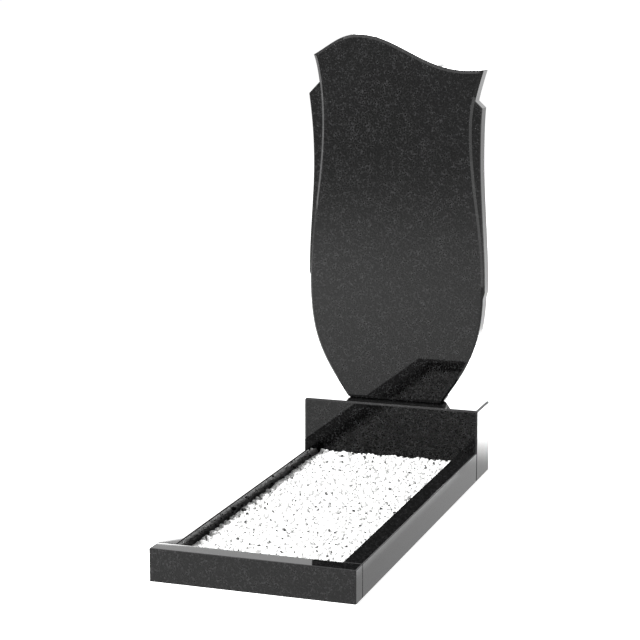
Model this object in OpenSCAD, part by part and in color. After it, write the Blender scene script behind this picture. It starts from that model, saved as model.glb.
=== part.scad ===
// Headstone with a kerb set: a polished dark stele with a waved top, standing on a plinth, and a low
// stone frame in front of it, filled with white marble chips.
// The front faces -Y, the back +Y, and +Z is up. The origin is on the ground, in the middle of the set.

/* [Kerb set] */
// Width of the kerb set and of the plinth
set_w = 500; // [420:10:900]
// Distance from the front kerb's front face to the plinth's front face
bed_reach = 1070; // [600:10:1800]
// Height of the kerbs
kerb_h = 80; // [60:5:150]
// Thickness of the kerbs
kerb_t = 48; // [40:1:80]
// Chamfer along the kerbs' edges
kerb_arris = 2; // [1:0.5:4]
// How far the marble chips lie below the kerbs' top
chip_drop = 28; // [10:2:45]

/* [Plinth] */
// Depth of the plinth, front to back
plinth_d = 140; // [110:5:250]
// Height of the plinth
plinth_h = 198; // [120:2:300]
// Chamfer along the plinth's edges
plinth_arris = 5; // [2:1:10]

/* [Stele] */
// Height of the stele, at the crest of its wave
stele_h = 1010; // [700:10:1400]
// Widest width of the stele, over its wings
stele_w = 505; // [400:5:800]
// Thickness of the stele
stele_t = 50; // [40:5:90]
// How far the front panel stands out from the wings
panel_rise = 5; // [3:1:10]
// Width of the panel's bevel, at the shoulders
bevel_top = 8; // [4:1:14]
// Width of the panel's bevel, at the foot
bevel_foot = 5; // [3:1:8]
// Chamfer along the wings' edges and the stele's back edges
stele_arris = 2; // [1:0.5:3]

/* [Hidden] */

// Places along Y, with the whole set centred on the origin
set_d = bed_reach + plinth_d;
front_y = -set_d / 2;
plinth_y = front_y + bed_reach;
stele_y = plinth_y + (plinth_d - stele_t) / 2;

// Size of the bed between the kerbs
bed_w = set_w - 2 * kerb_t;
bed_d = bed_reach - kerb_t;
chip_h = kerb_h - chip_drop;

// The stele's outline is drawn 505 wide and 1010 high, and the finished stele is resized to fit.
// x is from the stele's middle and z from its foot.
foot = [134, 0];
belly = [248.5, 340];
left_waist = [-215, 765];
right_waist = [211, 765];
left_corner = [-238.5, 953.5];
crest = [-111.5, 1010];
trough = [192, 917.5];
right_corner = [240.5, 920.5];

// Number of straight steps in each curve, and along the long wave of the top
steps = 16;
wave_steps = 26;

// Points along a cubic curve from a to d, led by b and c, without d itself
function cubic(a, b, c, d, n) = [
    for (i = [0 : n - 1])
        let (t = i / n, s = 1 - t)
            s * s * s * a + 3 * s * s * t * b + 3 * s * t * t * c + t * t * t * d
];

// One long side of the body from the foot up to its waist; side is -1 on the left and 1 on the right
function side_up(side, waist) = concat(
    cubic([side * foot.x, foot.y], [side * 221, 123], [side * belly.x, 179],
          [side * belly.x, belly.y], steps),
    cubic([side * belly.x, belly.y], [side * belly.x, 493], [waist.x, 612], waist, steps)
);
function reversed(list) = [for (i = [len(list) - 1 : -1 : 0]) list[i]];

// The body's outline, clockwise as the front shows it, from the left end of the foot to the right end
body_outline = concat(
    side_up(-1, left_waist),
    cubic(left_waist, [left_waist.x, 850], [-226, 923], left_corner, steps),
    cubic(left_corner, [-193, 979], [-163, crest.y], crest, steps),
    cubic(crest, [-5, crest.y], [69, trough.y], trough, wave_steps),
    cubic(trough, [208, trough.y], [224, 918.5], right_corner, 6),
    cubic(right_corner, [229, 878], [right_waist.x, 830], right_waist, steps),
    [right_waist],
    reversed(side_up(1, right_waist))
);

// The wings are one plate behind the panel: it stays inside the body's outline between the wings
left_wing_tip = [-252.5, 848];
right_wing_tip = [238, 818];
wing_outline = concat(
    [[-244, 326]],
    cubic([-251.5, 352], [-252.5, 452], [-238.5, 564], [-238.5, 655], steps),
    cubic([-238.5, 655], [-238.5, 725], [-243, 779], left_wing_tip, steps),
    [left_wing_tip, [-210, 892.5], [208, 846]],
    cubic(right_wing_tip, [235, 777], [235, 748], [235, 705], steps),
    cubic([235, 705], [235, 575], [252.5, 440], [252.5, 318], steps),
    [[252.5, 318], [244, 288], [200, 270], [-200, 300]]
);

// Inward normal of the edge from point a to point b of a clockwise outline
function inward(a, b) = let (d = b - a) [d.y, -d.x] / norm(d);

// Point i of a closed outline, moved inwards so that both its edges move by w
function mitred(p, i, w) =
    let (n = len(p),
         n1 = inward(p[(i + n - 1) % n], p[i]),
         n2 = inward(p[i], p[(i + 1) % n]))
    p[i] + w * (n1 + n2) / (1 + n1 * n2);

// The outline moved inwards by w, which may differ from point to point
function inset(p, w) = [for (i = [0 : len(p) - 1]) mitred(p, i, w[i])];

// The same for the body, whose foot keeps its level
function inset_body(p, w) =
    let (n = len(p))
    [for (i = [0 : n - 1])
        i == 0 ? p[0] + [w[0] / inward(p[0], p[1]).x, 0] :
        i == n - 1 ? p[i] + [w[i] / inward(p[n - 2], p[i]).x, 0] :
        mitred(p, i, w[i])];

function same(p, w) = [for (v = p) w];

// The bevel widens from the foot up to the shoulders
bevel_start_z = 250;
bevel_full_z = 600;
function bevel_at(z) =
    let (t = (z - bevel_start_z) / (bevel_full_z - bevel_start_z))
    bevel_foot + (bevel_top - bevel_foot) * min(1, max(0, t));

// A solid through rings of equally many points: ring k is a flat outline at depth depths[k]
module ringed(rings, depths) {
    n = len(rings[0]);
    last = len(rings) - 1;
    points = [for (k = [0 : last]) for (v = rings[k]) [v.x, depths[k], v.y]];
    front = [[for (i = [0 : n - 1]) i]];
    back = [[for (i = [n - 1 : -1 : 0]) last * n + i]];
    sides = [for (k = [0 : last - 1]) for (i = [0 : n - 1]) let (j = (i + 1) % n)
        [(k + 1) * n + i, (k + 1) * n + j, k * n + j, k * n + i]];
    polyhedron(points, concat(front, sides, back));
}

// The panel's bevel runs a little deeper than the wings' face, so that the two cross cleanly
bevel_overrun = 1;

module stele_body() {
    bevel = [for (v = body_outline) bevel_at(v.y)];
    back = inset_body(body_outline, same(body_outline, stele_arris));
    ringed([inset_body(body_outline, bevel), body_outline, body_outline, back],
           [0, panel_rise + bevel_overrun, stele_t - stele_arris, stele_t]);
}

module stele_wings() {
    narrowed = inset(wing_outline, same(wing_outline, stele_arris));
    back_gap = 1;
    ringed([narrowed, wing_outline, wing_outline, narrowed],
           [panel_rise, panel_rise + stele_arris, stele_t - back_gap - stele_arris, stele_t - back_gap]);
}

module stele() {
    color("#34363a")
    translate([0, stele_y, plinth_h])
    resize([stele_w, stele_t, stele_h])
    union() {
        stele_body();
        stele_wings();
    }
}

// A rectangle centred on the origin, with its corners cut by c
module cut_rectangle(w, d, c) {
    polygon([[-w / 2 + c, -d / 2], [w / 2 - c, -d / 2], [w / 2, -d / 2 + c], [w / 2, d / 2 - c],
             [w / 2 - c, d / 2], [-w / 2 + c, d / 2], [-w / 2, d / 2 - c], [-w / 2, -d / 2 + c]]);
}

// An end view, w wide and h high, with only its two upper corners cut by c
module cut_end(w, h, c) {
    polygon([[-w / 2, 0], [w / 2, 0], [w / 2, h - c], [w / 2 - c, h], [-w / 2 + c, h], [-w / 2, h - c]]);
}

// A block of stone on the ground, with every edge but the lower ones chamfered by c
module block(w, d, h, c) {
    intersection() {
        linear_extrude(h) cut_rectangle(w, d, c);
        translate([0, d / 2, 0]) rotate([90, 0, 0]) linear_extrude(d) cut_end(w, h, c);
        translate([-w / 2, 0, 0]) rotate([90, 0, 90]) linear_extrude(w) cut_end(d, h, c);
    }
}

module plinth() {
    color("#3a3c3f")
    translate([0, plinth_y + plinth_d / 2, 0])
    block(set_w, plinth_d, plinth_h, plinth_arris);
}

module front_kerb() {
    color("#3c3e41")
    translate([0, front_y + kerb_t / 2, 0])
    block(set_w, kerb_t, kerb_h, kerb_arris);
}

// A side kerb, from the front kerb to the plinth; side is -1 on the left and 1 on the right
module side_kerb(side) {
    translate([side * (set_w - kerb_t) / 2, front_y + kerb_t + bed_d / 2, 0])
    block(kerb_t, bed_d, kerb_h, kerb_arris);
}

module left_kerb() {
    color("#3c3e41") side_kerb(-1);
}

module right_kerb() {
    color("#3c3e41") side_kerb(1);
}

// The chips fill the bed from the ground up
module marble_chips() {
    color("#f2f1ee")
    translate([-bed_w / 2, front_y + kerb_t, 0])
    cube([bed_w, bed_d, chip_h]);
}

stele();
plinth();
front_kerb();
left_kerb();
right_kerb();
marble_chips();
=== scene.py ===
"""A headstone with its plinth, kerbs and chipped marble bed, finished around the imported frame.

The file is laid out as an add-on and is run as a script. Lengths are metres.
"""

import math
import random

import bmesh
import bpy
from bpy.props import FloatProperty, FloatVectorProperty, PointerProperty
from mathutils import Euler, Matrix, Vector


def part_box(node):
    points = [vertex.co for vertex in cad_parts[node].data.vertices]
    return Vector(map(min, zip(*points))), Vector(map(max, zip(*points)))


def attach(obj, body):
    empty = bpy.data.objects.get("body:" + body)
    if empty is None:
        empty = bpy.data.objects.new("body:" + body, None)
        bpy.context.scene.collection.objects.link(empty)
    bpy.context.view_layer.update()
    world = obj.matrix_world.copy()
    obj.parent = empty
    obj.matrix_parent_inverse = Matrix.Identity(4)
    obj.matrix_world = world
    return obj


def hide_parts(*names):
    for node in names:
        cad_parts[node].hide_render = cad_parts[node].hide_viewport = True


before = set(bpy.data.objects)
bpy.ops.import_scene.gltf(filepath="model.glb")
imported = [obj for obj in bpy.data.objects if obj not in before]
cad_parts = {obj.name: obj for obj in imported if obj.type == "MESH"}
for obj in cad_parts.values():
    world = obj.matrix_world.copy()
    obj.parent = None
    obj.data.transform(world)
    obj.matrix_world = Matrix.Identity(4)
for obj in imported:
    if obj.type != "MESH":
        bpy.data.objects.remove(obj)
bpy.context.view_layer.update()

bl_info = {
    "name": "Headstone with kerb set",
    "version": (1, 0, 0),
    "blender": (4, 5, 0),
    "location": "View3D > Sidebar > Headstone",
    "description": "Finishes a polished granite headstone, its kerbs and its marble chips",
    "category": "Object",
}

# Points closer than this are one point, and faces closer than this in slope are one face
WELD = 1e-5
FLAT = math.radians(0.2)

# Edges that turn more than the first angle are eased, and those that turn less than the second shade smooth
ARRIS_ANGLE = math.radians(25)
SMOOTH_BELOW = math.radians(50)

# A face that points this squarely down or back counts as an underside or a back
SQUARE_ON = 0.99

# The tone of each stone of the bed, from 0 to 1: dark grey grit that paints the shade of the gaps between
# the chips, the fines below, and the white chips
SHADE_GRIT_TONES = (0.0, 0.1)
FINES_TONE = 0.5
CHIP_TONES = (0.2, 1.0)

# How much the stones of a kind differ in length: the spread of a lognormal draw
SHADE_GRIT_VARIETY = 0.35
CHIP_VARIETY = 0.15

# How far a stone lies from its point of the grid, as a share of the spacing, and how far it tilts
SCATTER = 0.35
TUMBLE = 0.5

# Width of the sugary grains on a broken face of marble
SUGAR_GRAIN = 0.0015

# The granite pieces: the new piece's name and the frame's node that it stands for
STELE = ("stele_granite", "stele")
PLINTH = ("plinth_granite", "plinth")
KERBS = (
    ("front_kerb_granite", "front_kerb"),
    ("left_kerb_granite", "left_kerb"),
    ("right_kerb_granite", "right_kerb"),
)
CHIPS = ("marble_chip_bed", "marble_chips")

# The camera stands in front on the right, looks down on the set, and has a long lens
CAMERA_PLACE = (1.4833, -4.4289, 1.4084)
CAMERA_DIP = math.radians(10.778)
CAMERA_TURN = math.radians(19.014)
CAMERA_LENS = 106.729

# Height of the point on the set that a softbox aims at
AIM_HEIGHT = 0.5


# ---------------------------------------------------------------- helpers


def linear(hex_colour):
    """An sRGB hex colour as linear red, green, blue and alpha."""
    parts = [int(hex_colour[i : i + 2], 16) / 255 for i in (1, 3, 5)]
    return [p / 12.92 if p <= 0.04045 else ((p + 0.055) / 1.055) ** 2.4 for p in parts] + [1.0]


def add_node(tree, kind, inputs=None, links=None, **options):
    """Adds a node to a tree, with its input values, the sockets that feed it and its options."""
    node = tree.nodes.new(kind)
    for name, value in options.items():
        setattr(node, name, value)
    for name, value in (inputs or {}).items():
        node.inputs[name].default_value = value
    for name, socket in (links or {}).items():
        tree.links.new(socket, node.inputs[name])
    return node


def set_stops(ramp, stops):
    """Gives a colour ramp its stops, each a place from 0 to 1 and a colour."""
    elements = ramp.color_ramp.elements
    while len(elements) < len(stops):
        elements.new(1.0)
    for element, (place, colour) in zip(elements, stops):
        element.position = place
        element.color = colour


def new_material(name):
    """An empty node material, its tree and its output node."""
    material = bpy.data.materials.new(name)
    material.use_nodes = True
    material.node_tree.nodes.clear()
    return material, material.node_tree, add_node(material.node_tree, "ShaderNodeOutputMaterial")


def mesh_object(name, bm, materials):
    """Turns a bmesh into an object at the origin that carries the materials."""
    mesh = bpy.data.meshes.new(name)
    bm.to_mesh(mesh)
    bm.free()
    for material in materials:
        mesh.materials.append(material)
    piece = bpy.data.objects.new(name, mesh)
    bpy.context.scene.collection.objects.link(piece)
    return piece


def hand_over(piece, node):
    """Puts a finished piece in the place of its CAD node."""
    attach(piece, "root")
    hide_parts(node)


def settings():
    """The sizes and the colours that the panel shows."""
    return bpy.context.scene.headstone_sizes, bpy.context.scene.headstone_finish


# ---------------------------------------------------------------- materials


def polished_granite(finish):
    """Gabbro, diamond-polished: a near-black crystalline stone with a mirror face.

    It reads as charcoal where it mirrors a bright floor, with small grey feldspar flecks in it. The
    crystals are drawn about twice as coarse as real ones, so that they show on the whole headstone.
    """
    material, tree, output = new_material("gabbro_polished")
    place = add_node(tree, "ShaderNodeTexCoord").outputs["Object"]
    clusters = add_node(
        tree,
        "ShaderNodeTexNoise",
        {"Scale": 1 / finish.cluster_size, "Detail": 3.0, "Roughness": 0.6},
        {"Vector": place},
    )
    shade = add_node(
        tree,
        "ShaderNodeMath",
        {1: finish.cluster_strength},
        {0: clusters.outputs["Fac"]},
        operation="MULTIPLY",
    ).outputs["Value"]
    for size, share in ((finish.crystal_size, 0.5), (finish.grain_size, 0.3)):
        cells = add_node(tree, "ShaderNodeTexVoronoi", {"Scale": 1 / size}, {"Vector": place})
        pick = add_node(tree, "ShaderNodeSeparateColor", links={"Color": cells.outputs["Color"]})
        shade = add_node(
            tree,
            "ShaderNodeMath",
            {1: share},
            {0: pick.outputs["Red"], 2: shade},
            operation="MULTIPLY_ADD",
        ).outputs["Value"]
    colour = add_node(tree, "ShaderNodeValToRGB", links={"Fac": shade})
    set_stops(
        colour,
        (
            (0.50, list(finish.granite_ground) + [1.0]),
            (0.80, list(finish.granite_crystal) + [1.0]),
            (1.00, list(finish.granite_fleck) + [1.0]),
        ),
    )
    shader = add_node(
        tree,
        "ShaderNodeBsdfPrincipled",
        {"Roughness": 0.02, "IOR": finish.granite_ior},
        {"Base Color": colour.outputs["Color"]},
    )
    tree.links.new(shader.outputs["BSDF"], output.inputs["Surface"])
    return material


def sawn_granite(finish):
    """The same stone as the saw leaves it on the hidden beds: dull, paler, with faint blade lines."""
    material, tree, output = new_material("gabbro_sawn")
    place = add_node(tree, "ShaderNodeTexCoord").outputs["Object"]
    grain = add_node(
        tree, "ShaderNodeTexNoise", {"Scale": 1 / finish.grain_size, "Detail": 4.0}, {"Vector": place}
    )
    colour = add_node(tree, "ShaderNodeValToRGB", links={"Fac": grain.outputs["Fac"]})
    set_stops(colour, ((0.3, linear("#2c2d2f")), (0.7, linear("#55575a"))))
    # At a scale of 1 the bands of a wave texture are pi / 10 apart
    blade = add_node(
        tree,
        "ShaderNodeTexWave",
        {"Scale": math.pi / 10 / finish.blade_pitch, "Distortion": 1.5, "Detail": 2.0},
        {"Vector": place},
        bands_direction="X",
    )
    lines = add_node(
        tree, "ShaderNodeBump", {"Strength": 0.3, "Distance": 0.0004}, {"Height": blade.outputs["Fac"]}
    )
    shader = add_node(
        tree,
        "ShaderNodeBsdfPrincipled",
        {"Roughness": 0.8},
        {"Base Color": colour.outputs["Color"], "Normal": lines.outputs["Normal"]},
    )
    tree.links.new(shader.outputs["BSDF"], output.inputs["Surface"])
    return material


def granite_finishes(finish):
    """The two finishes of the stone, made once and shared by all the granite pieces."""
    made = bpy.data.materials
    return (
        made.get("gabbro_polished") or polished_granite(finish),
        made.get("gabbro_sawn") or sawn_granite(finish),
    )


def crushed_marble(finish):
    """White marble, crushed and washed: sugary broken faces, matt, each stone a little different."""
    material, tree, output = new_material("marble_crushed")
    place = add_node(tree, "ShaderNodeTexCoord").outputs["Object"]
    tone = add_node(tree, "ShaderNodeAttribute", attribute_name="tone", attribute_type="GEOMETRY")
    colour = add_node(tree, "ShaderNodeValToRGB", links={"Fac": tone.outputs["Fac"]})
    set_stops(
        colour,
        (
            # The dark end of the ramp, up to the grey, colours the grit, which is painted shade for the
            # gaps between the chips
            (0.0, linear("#2c2c2c")),
            (0.12, list(finish.shade_grit_grey) + [1.0]),
            (0.16, list(finish.marble_white) + [1.0]),
            (1.0, linear("#fafafa")),
        ),
    )
    sugar = add_node(
        tree, "ShaderNodeTexNoise", {"Scale": 1 / SUGAR_GRAIN, "Detail": 3.0}, {"Vector": place}
    )
    lumps = add_node(
        tree, "ShaderNodeBump", {"Strength": 0.4, "Distance": 0.0005}, {"Height": sugar.outputs["Fac"]}
    )
    shader = add_node(
        tree,
        "ShaderNodeBsdfPrincipled",
        {"Roughness": 0.65},
        {"Base Color": colour.outputs["Color"], "Normal": lumps.outputs["Normal"]},
    )
    tree.links.new(shader.outputs["BSDF"], output.inputs["Surface"])
    return material


def pale_floor(finish):
    """White studio floor paint, lit hard: matt and very bright."""
    material, tree, output = new_material("studio_floor")
    shader = add_node(
        tree,
        "ShaderNodeBsdfPrincipled",
        {
            "Base Color": linear("#f2f2f2"),
            "Roughness": 1.0,
            "Specular IOR Level": 0.0,
            "Emission Color": linear("#ffffff"),
            "Emission Strength": finish.floor_glow,
        },
    )
    tree.links.new(shader.outputs["BSDF"], output.inputs["Surface"])
    return material


# ---------------------------------------------------------------- granite pieces


def ease(bm, edges, width, segments):
    """Takes the sharpness off some edges."""
    bmesh.ops.bevel(
        bm,
        geom=edges,
        offset=width,
        offset_type="OFFSET",
        segments=segments,
        profile=0.5,
        affect="EDGES",
        material=-1,
        clamp_overlap=True,
    )


def cut_stone(name, node, arris, finish, foot_chamfer=0.0, sawn_back=False):
    """Makes one granite piece from its CAD node, with every arris eased by the polishing pad.

    The underside stays as the saw leaves it, and the back too where nobody looks at it. A chamfer
    round the foot reads as a dark joint line.
    """
    bm = bmesh.new()
    bm.from_mesh(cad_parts[node].data)
    bmesh.ops.remove_doubles(bm, verts=bm.verts, dist=WELD)
    bmesh.ops.dissolve_limit(bm, angle_limit=FLAT, verts=bm.verts, edges=bm.edges)
    if foot_chamfer:
        foot = min(vert.co.z for vert in bm.verts) + WELD
        ease(bm, [e for e in bm.edges if all(v.co.z < foot for v in e.verts)], foot_chamfer, 1)
    ease(bm, [e for e in bm.edges if e.calc_face_angle(0.0) > ARRIS_ANGLE], arris, 2)
    bmesh.ops.dissolve_degenerate(bm, dist=WELD, edges=bm.edges)
    bm.normal_update()
    for face in bm.faces:
        face.smooth = True
        underside = face.normal.z < -SQUARE_ON
        plain_back = sawn_back and face.normal.y > SQUARE_ON
        face.material_index = 1 if underside or plain_back else 0
    piece = mesh_object(name, bm, granite_finishes(finish))
    piece.data.set_sharp_from_angle(angle=SMOOTH_BELOW)
    flats = piece.modifiers.new("flat_faces", "WEIGHTED_NORMAL")
    flats.keep_sharp = True
    hand_over(piece, node)


# ---------------------------------------------------------------- marble chips


def chip_shape(draw, planes):
    """One crushed stone of unit length: a ball knocked out of round and cleaved by flat planes."""
    bm = bmesh.new()
    bmesh.ops.create_icosphere(bm, subdivisions=1, radius=0.5)
    for vert in bm.verts:
        vert.co *= draw.uniform(0.85, 1.15)
    bmesh.ops.scale(bm, verts=bm.verts, vec=(1.0, draw.uniform(0.65, 0.9), draw.uniform(0.5, 0.75)))
    for _ in range(planes):
        way = Vector((draw.uniform(-1, 1), draw.uniform(-1, 1), draw.uniform(-1, 1))).normalized()
        bmesh.ops.bisect_plane(
            bm,
            geom=bm.verts[:] + bm.edges[:] + bm.faces[:],
            plane_co=way * draw.uniform(0.20, 0.30),
            plane_no=way,
            clear_outer=True,
        )
        bmesh.ops.holes_fill(bm, edges=[edge for edge in bm.edges if edge.is_boundary])
    mesh = bpy.data.meshes.new("chip_shape")
    bm.to_mesh(mesh)
    bm.free()
    return mesh


def strew(bm, tone, shapes, draw, bed, spacing, length, variety, level, wander, shades):
    """Strews one layer of stones over the bed, one near each point of a staggered grid.

    Variety is how much their lengths differ, and wander how far they lie above and below the level.
    """
    low, high = bed
    rows = round((high.y - low.y) / spacing)
    columns = round((high.x - low.x) / spacing)
    for row in range(rows):
        for column in range(columns):
            size = length * draw.lognormvariate(0.0, variety)
            reach = size * 0.5
            x = low.x + (column + 0.25 + 0.5 * (row % 2) + draw.uniform(-SCATTER, SCATTER)) * spacing
            y = low.y + (row + 0.5 + draw.uniform(-SCATTER, SCATTER)) * spacing
            x = min(max(x, low.x + reach), high.x - reach)
            y = min(max(y, low.y + reach), high.y - reach)
            tilt = Euler((draw.gauss(0, TUMBLE), draw.gauss(0, TUMBLE), draw.uniform(0, math.tau)))
            place = Matrix.LocRotScale((x, y, level + draw.uniform(-1, 1) * wander), tilt, (size,) * 3)
            chip = draw.choice(shapes).copy()
            chip.transform(place)
            first = len(bm.faces)
            bm.from_mesh(chip)
            bpy.data.meshes.remove(chip)
            bm.faces.ensure_lookup_table()
            shade = draw.uniform(*shades)
            for face in bm.faces[first:]:
                face[tone] = shade


def strew_chips(sizes, finish):
    """Fills the bed with crushed marble on a slab of fines, and strews dark grey grit over it as painted
    shade for the gaps between the stones.
    """
    draw = random.Random(7)
    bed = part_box(CHIPS[1])
    low, high = bed
    chips = [chip_shape(draw, 2) for _ in range(12)]
    lumps = [chip_shape(draw, 0) for _ in range(8)]
    bm = bmesh.new()
    tone = bm.faces.layers.float.new("tone")
    fines_top = high.z - 0.9 * sizes.chip_length
    bmesh.ops.create_cube(bm, size=1.0)
    bmesh.ops.scale(bm, verts=bm.verts, vec=(high.x - low.x, high.y - low.y, fines_top - low.z))
    middle = Vector(((low.x + high.x) / 2, (low.y + high.y) / 2, (low.z + fines_top) / 2))
    bmesh.ops.translate(bm, verts=bm.verts, vec=middle)
    for face in bm.faces:
        face[tone] = FINES_TONE
    # The middles of the stones lie about these heights, in a lower and an upper layer and on top
    lower = high.z - 0.6 * sizes.chip_length
    upper = high.z - 0.2 * sizes.chip_length
    over = high.z + 0.15 * sizes.chip_length
    white = (bed, sizes.chip_spacing, sizes.chip_length, CHIP_VARIETY)
    # The dark grey grit is painted shade: dark stones strewn on top where the gaps between the chips fall
    # into shade
    grey = (bed, sizes.shade_grit_spacing, sizes.shade_grit_length, SHADE_GRIT_VARIETY)
    strew(bm, tone, lumps, draw, *white, lower, 0.002, CHIP_TONES)
    strew(bm, tone, chips, draw, *white, upper, 0.003, CHIP_TONES)
    strew(bm, tone, lumps, draw, *grey, over, 0.001, SHADE_GRIT_TONES)
    piece = mesh_object(CHIPS[0], bm, (crushed_marble(finish),))
    for shape in chips + lumps:
        bpy.data.meshes.remove(shape)
    hand_over(piece, CHIPS[1])


# ---------------------------------------------------------------- stage


def softbox(name, azimuth, place, size, brightness, aim="ahead", mirrored_only=False):
    """A softbox on a circle round the set, turned ahead, down, or to the middle of the set.

    The azimuth is in degrees: 0 is in front and 90 on the right. Place is the distance and the
    height, and size is the width and the height. Brightness is how bright its face looks. A softbox
    that is only mirrored lights nothing, and shows in the polish.
    """
    distance, height = place
    angle = math.radians(azimuth)
    out = Vector((math.sin(angle), -math.cos(angle), 0.0))
    data = bpy.data.lights.new(name, "AREA")
    data.shape = "RECTANGLE"
    data.size, data.size_y = size
    data.energy = math.pi * size[0] * size[1] * brightness
    lamp = bpy.data.objects.new(name, data)
    lamp.location = out * distance + Vector((0.0, 0.0, height))
    if aim != "down":
        target = Vector((0.0, 0.0, height if aim == "ahead" else AIM_HEIGHT))
        lamp.rotation_euler = (lamp.location - target).to_track_quat("Z", "Y").to_euler()
    lamp.visible_camera = False
    lamp.visible_diffuse = not mirrored_only
    bpy.context.scene.collection.objects.link(lamp)
    return lamp


def surround(finish):
    """The studio walls, which only the polish mirrors."""
    world = bpy.data.worlds.new("studio_walls")
    world.use_nodes = True
    light = world.node_tree.nodes["Background"]
    light.inputs["Color"].default_value = linear("#ffffff")
    light.inputs["Strength"].default_value = finish.walls
    world.cycles_visibility.diffuse = False
    bpy.context.scene.world = world


def dome(finish):
    """Soft light from the whole ceiling, which darkens only in corners and close to the stone."""
    data = bpy.data.lights.new("dome_light", "SUN")
    data.energy = finish.dome
    data.angle = math.pi
    lamp = bpy.data.objects.new("dome_light", data)
    lamp.visible_glossy = False
    bpy.context.scene.collection.objects.link(lamp)


def set_stage(finish):
    """Lays the floor and sets the lights and the camera."""
    bm = bmesh.new()
    bmesh.ops.create_grid(bm, x_segments=1, y_segments=1, size=60.0)
    floor = mesh_object("studio_floor", bm, (pale_floor(finish),))

    surround(finish)
    dome(finish)
    softbox("key_softbox", -60, (3.9, 3.8), (1.6, 1.6), finish.key, "set")
    softbox("top_softbox", 0, (0.5, 6.0), (8.0, 6.0), finish.top, "down", mirrored_only=True)
    softbox("crown_softbox", -100, (3.7, 6.0), (4.4, 2.0), finish.crown, "down", mirrored_only=True)
    softbox("back_softbox", -163, (6.3, 1.055), (3.2, 2.3), finish.back, mirrored_only=True)
    softbox("crest_softbox", -172, (6.3, 2.85), (2.2, 1.1), finish.back, mirrored_only=True)
    softbox("left_softbox", -90, (3.2, 0.78), (1.6, 1.1), finish.left, mirrored_only=True)
    softbox("right_softbox", 68, (3.2, 0.60), (2.8, 1.6), finish.right, mirrored_only=True)
    softbox("far_softbox", 163, (5.0, 3.0), (4.0, 4.0), finish.far, "down")
    near = softbox("near_softbox", 164, (1.43, 0.6), (0.50, 0.90), finish.near, "down")
    near.data.spread = math.radians(60)

    data = bpy.data.cameras.new("camera")
    data.lens = CAMERA_LENS
    data.sensor_width = 36.0
    camera = bpy.data.objects.new("camera", data)
    camera.location = CAMERA_PLACE
    camera.rotation_euler = (math.pi / 2 - CAMERA_DIP, 0.0, CAMERA_TURN)
    bpy.context.scene.collection.objects.link(camera)
    bpy.context.scene.camera = camera
    bpy.context.scene.view_settings.view_transform = "Standard"


# ---------------------------------------------------------------- panel values


class HeadstoneSizes(bpy.types.PropertyGroup):
    """Sizes that a user would change."""

    arris: FloatProperty(
        name="Arris rounding",
        description="Width that the polishing pad takes off each sharp edge",
        default=0.0005,
        min=0.0002,
        max=0.0010,
        unit="LENGTH",
    )
    foot_chamfer: FloatProperty(
        name="Foot chamfer",
        description="Width of the chamfer round the foot of the stele",
        default=0.0035,
        min=0.0,
        max=0.0045,
        unit="LENGTH",
    )
    chip_length: FloatProperty(
        name="Chip length",
        description="Mean length of a marble chip",
        default=0.017,
        min=0.012,
        max=0.024,
        unit="LENGTH",
    )
    chip_spacing: FloatProperty(
        name="Chip spacing",
        description="Distance between neighbouring chips of a layer",
        default=0.0115,
        min=0.0115,
        max=0.020,
        unit="LENGTH",
    )
    # The grit is painted shade: dark grains that stand for the shaded gaps between the chips
    shade_grit_length: FloatProperty(
        name="Grit length",
        description="Mean length of the dark grit among the chips",
        default=0.0052,
        min=0.003,
        max=0.010,
        unit="LENGTH",
    )
    shade_grit_spacing: FloatProperty(
        name="Grit spacing",
        description="Distance between neighbouring grains of dark grit",
        default=0.029,
        min=0.015,
        max=0.060,
        unit="LENGTH",
    )


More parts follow.
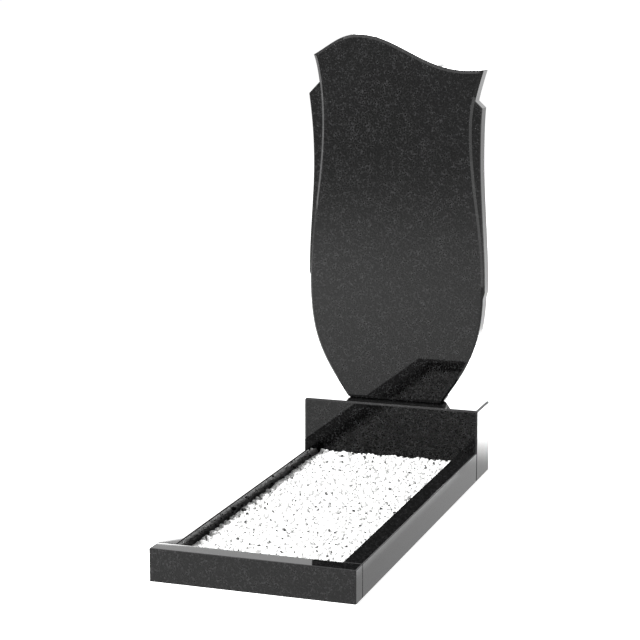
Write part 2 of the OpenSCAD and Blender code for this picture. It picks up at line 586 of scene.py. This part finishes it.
class HeadstoneFinish(bpy.types.PropertyGroup):
    """Colours, grain sizes and lights that a user would change."""

    granite_ground: FloatVectorProperty(
        name="Granite ground",
        description="Colour of the dark crystals that make up most of the stone",
        default=linear("#070707")[:3],
        subtype="COLOR",
    )
    granite_crystal: FloatVectorProperty(
        name="Granite crystals",
        description="Colour of the paler crystals",
        default=linear("#111111")[:3],
        subtype="COLOR",
    )
    granite_fleck: FloatVectorProperty(
        name="Granite flecks",
        description="Colour of the few light flecks",
        default=linear("#2c2c2d")[:3],
        subtype="COLOR",
    )
    granite_ior: FloatProperty(
        name="Granite index",
        description="Index of refraction, which sets how strongly the polish mirrors",
        default=1.28,
        min=1.1,
        max=1.8,
    )
    crystal_size: FloatProperty(
        name="Crystal size",
        description="Mean width of a large crystal",
        default=0.0034,
        unit="LENGTH",
    )
    grain_size: FloatProperty(
        name="Grain size",
        description="Mean width of a small crystal",
        default=0.0020,
        unit="LENGTH",
    )
    cluster_size: FloatProperty(
        name="Cluster size",
        description="Distance over which the crystals get paler and darker together",
        default=0.020,
        unit="LENGTH",
    )
    cluster_strength: FloatProperty(
        name="Cluster strength",
        description="How much paler the crystals of a cluster get",
        default=0.50,
        subtype="FACTOR",
    )
    blade_pitch: FloatProperty(
        name="Saw line pitch",
        description="Distance between the lines that the saw leaves on hidden faces",
        default=0.0025,
        unit="LENGTH",
    )
    marble_white: FloatVectorProperty(
        name="Marble white",
        description="Colour of the white chips",
        default=linear("#f3f3f2")[:3],
        subtype="COLOR",
    )
    # Painted shade: the grey of the grit that stands for the shaded gaps between the chips
    shade_grit_grey: FloatVectorProperty(
        name="Marble grey",
        description="Colour of the dark grit",
        default=linear("#5a5a59")[:3],
        subtype="COLOR",
    )
    floor_glow: FloatProperty(
        name="Floor glow",
        description="Light that the floor gives of its own, so that it stays white in shade",
        default=0.85,
    )
    walls: FloatProperty(
        name="Walls", description="Brightness of the studio walls that the polish mirrors", default=1.7
    )
    dome: FloatProperty(
        name="Ceiling light", description="Strength of the soft light from the whole ceiling", default=0.6
    )
    key: FloatProperty(
        name="Key light", description="Brightness of the softbox on the left", default=75.0
    )
    top: FloatProperty(
        name="Top light", description="Brightness of the softbox above, for the bevels", default=2.2
    )
    crown: FloatProperty(
        name="Crown light", description="Brightness of the high softbox on the left", default=4.0
    )
    back: FloatProperty(
        name="Back light", description="Brightness of the softboxes behind, for the tops", default=6.0
    )
    left: FloatProperty(
        name="Left edge light", description="Brightness of the softbox on the left bevel", default=2.8
    )
    right: FloatProperty(
        name="Right edge light", description="Brightness of the softbox on the right bevel", default=3.2
    )
    far: FloatProperty(
        name="Far light", description="Brightness of the softbox over the far floor", default=1.6
    )
    near: FloatProperty(
        name="Near light", description="Brightness of the softbox over the floor behind", default=13.0
    )


# ---------------------------------------------------------------- operators


class HEADSTONE_OT_stele(bpy.types.Operator):
    """Build the polished stele"""

    bl_idname = "headstone.stele"
    bl_label = "Stele"

    def execute(self, context):
        sizes, finish = settings()
        cut_stone(*STELE, sizes.arris, finish, sizes.foot_chamfer, sawn_back=True)
        return {"FINISHED"}


class HEADSTONE_OT_plinth(bpy.types.Operator):
    """Build the polished plinth that the stele stands on"""

    bl_idname = "headstone.plinth"
    bl_label = "Plinth"

    def execute(self, context):
        sizes, finish = settings()
        cut_stone(*PLINTH, sizes.arris, finish, sawn_back=True)
        return {"FINISHED"}


class HEADSTONE_OT_kerbs(bpy.types.Operator):
    """Build the three polished kerbs round the bed"""

    bl_idname = "headstone.kerbs"
    bl_label = "Kerbs"

    def execute(self, context):
        sizes, finish = settings()
        for name, node in KERBS:
            cut_stone(name, node, sizes.arris, finish)
        return {"FINISHED"}


class HEADSTONE_OT_chips(bpy.types.Operator):
    """Fill the bed with crushed white marble"""

    bl_idname = "headstone.chips"
    bl_label = "Marble chips"

    def execute(self, context):
        strew_chips(*settings())
        return {"FINISHED"}


class HEADSTONE_OT_stage(bpy.types.Operator):
    """Lay the floor and set the lights and the camera"""

    bl_idname = "headstone.stage"
    bl_label = "Stage"

    def execute(self, context):
        set_stage(settings()[1])
        return {"FINISHED"}


OPERATORS = (
    HEADSTONE_OT_stele,
    HEADSTONE_OT_plinth,
    HEADSTONE_OT_kerbs,
    HEADSTONE_OT_chips,
    HEADSTONE_OT_stage,
)


class HEADSTONE_PT_panel(bpy.types.Panel):
    """Lists the pieces in the sidebar, under the values that shape them"""

    bl_label = "Headstone"
    bl_space_type = "VIEW_3D"
    bl_region_type = "UI"
    bl_category = "Headstone"

    def draw(self, context):
        for group in settings():
            for name in group.bl_rna.properties.keys():
                if name not in ("rna_type", "name"):
                    self.layout.prop(group, name)
        for operator in OPERATORS:
            self.layout.operator(operator.bl_idname)


CLASSES = (HeadstoneSizes, HeadstoneFinish, *OPERATORS, HEADSTONE_PT_panel)


def register():
    for cls in CLASSES:
        bpy.utils.register_class(cls)
    bpy.types.Scene.headstone_sizes = PointerProperty(type=HeadstoneSizes)
    bpy.types.Scene.headstone_finish = PointerProperty(type=HeadstoneFinish)


def unregister():
    del bpy.types.Scene.headstone_finish
    del bpy.types.Scene.headstone_sizes
    for cls in reversed(CLASSES):
        bpy.utils.unregister_class(cls)


def main():
    register()
    bpy.ops.headstone.stage()
    bpy.ops.headstone.stele()
    bpy.ops.headstone.plinth()
    bpy.ops.headstone.kerbs()
    bpy.ops.headstone.chips()


if __name__ == "__main__":
    main()
